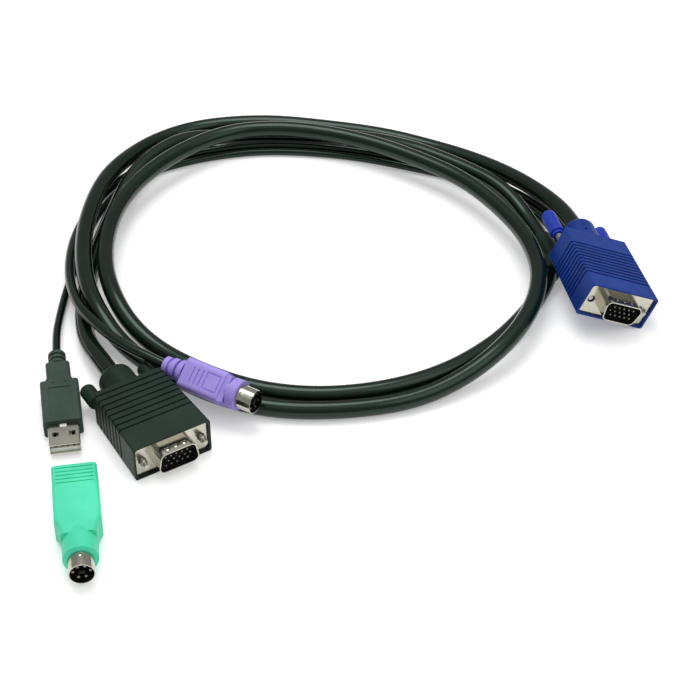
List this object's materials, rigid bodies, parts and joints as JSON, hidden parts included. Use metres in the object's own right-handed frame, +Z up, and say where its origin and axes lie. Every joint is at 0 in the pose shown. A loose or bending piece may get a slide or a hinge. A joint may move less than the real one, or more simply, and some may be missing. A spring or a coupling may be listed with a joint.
{
  "type": "kvm cable",
  "caption": "Computer-to-switch cable laid in a loop: screw-locked video plugs on the trunk, a round keyboard plug and a flat USB plug on side leads, with a USB-to-round-plug adapter.",
  "frame": {"origin": "centre of the bounding box, on the table", "axes": "+Z up from the table; +Y runs from the viewer of the picture to the far side of the loop; +X to the viewer's right"},
  "size_m": [0.2498, 0.2995, 0.027],
  "materials": {
    "blue_moulding": "moulded PVC, fine satin grain",
    "blue_knob": "satin plastic",
    "black_moulding": "moulded PVC, fine satin grain",
    "purple_moulding": "moulded PVC, satin",
    "green_moulding": "moulded plastic, satin",
    "nickel_plate": "nickel plated pressed steel",
    "screw_steel": "nickel plated steel",
    "pin_metal": "nickel plated contacts",
    "kvm_insulator": "moulded plastic",
    "pc_insulator": "moulded plastic",
    "black_insulator": "moulded plastic",
    "pale_plastic": "moulded plastic",
    "cable_jacket": "black PVC jacket, satin"
  },
  "bodies": {
    "cable_set": {"kvm_hood": "blue_moulding", "kvm_shell": "nickel_plate", "kvm_insulator": "kvm_insulator", "kvm_pins": "pin_metal", "pc_hood": "black_moulding", "pc_shell": "nickel_plate", "pc_insulator": "pc_insulator", "pc_pins": "pin_metal", "usb_boot": "black_moulding", "usb_shell": "nickel_plate", "usb_tongue": "pale_plastic", "usb_contacts": "pin_metal", "keyboard_boot": "purple_moulding", "keyboard_shell": "nickel_plate", "keyboard_insulator": "black_insulator", "keyboard_pins": "pin_metal", "adapter_body": "green_moulding", "adapter_din_shell": "nickel_plate", "adapter_din_insulator": "black_insulator", "adapter_din_pins": "pin_metal", "adapter_socket_shell": "nickel_plate", "adapter_socket_tongue": "pale_plastic", "adapter_socket_contacts": "pin_metal", "breakout": "black_moulding", "trunk_cable": "cable_jacket", "video_lead": "cable_jacket", "keyboard_lead": "cable_jacket", "usb_lead": "cable_jacket"},
    "kvm_left_thumbscrew": {"kvm_left_knob": "blue_knob", "kvm_left_screw": "screw_steel"},
    "kvm_right_thumbscrew": {"kvm_right_knob": "blue_knob", "kvm_right_screw": "screw_steel"},
    "pc_left_thumbscrew": {"pc_left_knob": "black_moulding", "pc_left_screw": "screw_steel"},
    "pc_right_thumbscrew": {"pc_right_knob": "black_moulding", "pc_right_screw": "screw_steel"}
  },
  "joints": [
    {"name": "kvm_left_turn", "type": "hinge", "parent": "cable_set", "child": "kvm_left_thumbscrew", "pos_m": [0.11101, 0.0347, 0.00834], "axis": [0.213, -0.977, 0], "continuous": true},
    {"name": "kvm_right_turn", "type": "hinge", "parent": "cable_set", "child": "kvm_right_thumbscrew", "pos_m": [0.08878, 0.02985, 0.0187], "axis": [0.213, -0.977, 0], "continuous": true},
    {"name": "pc_left_turn", "type": "hinge", "parent": "cable_set", "child": "pc_left_thumbscrew", "pos_m": [-0.09831, -0.06191, 0.0078], "axis": [0.5329, -0.8462, 0], "continuous": true},
    {"name": "pc_right_turn", "type": "hinge", "parent": "cable_set", "child": "pc_right_thumbscrew", "pos_m": [-0.07715, -0.04859, 0.0078], "axis": [0.5329, -0.8462, 0], "continuous": true}
  ]
}
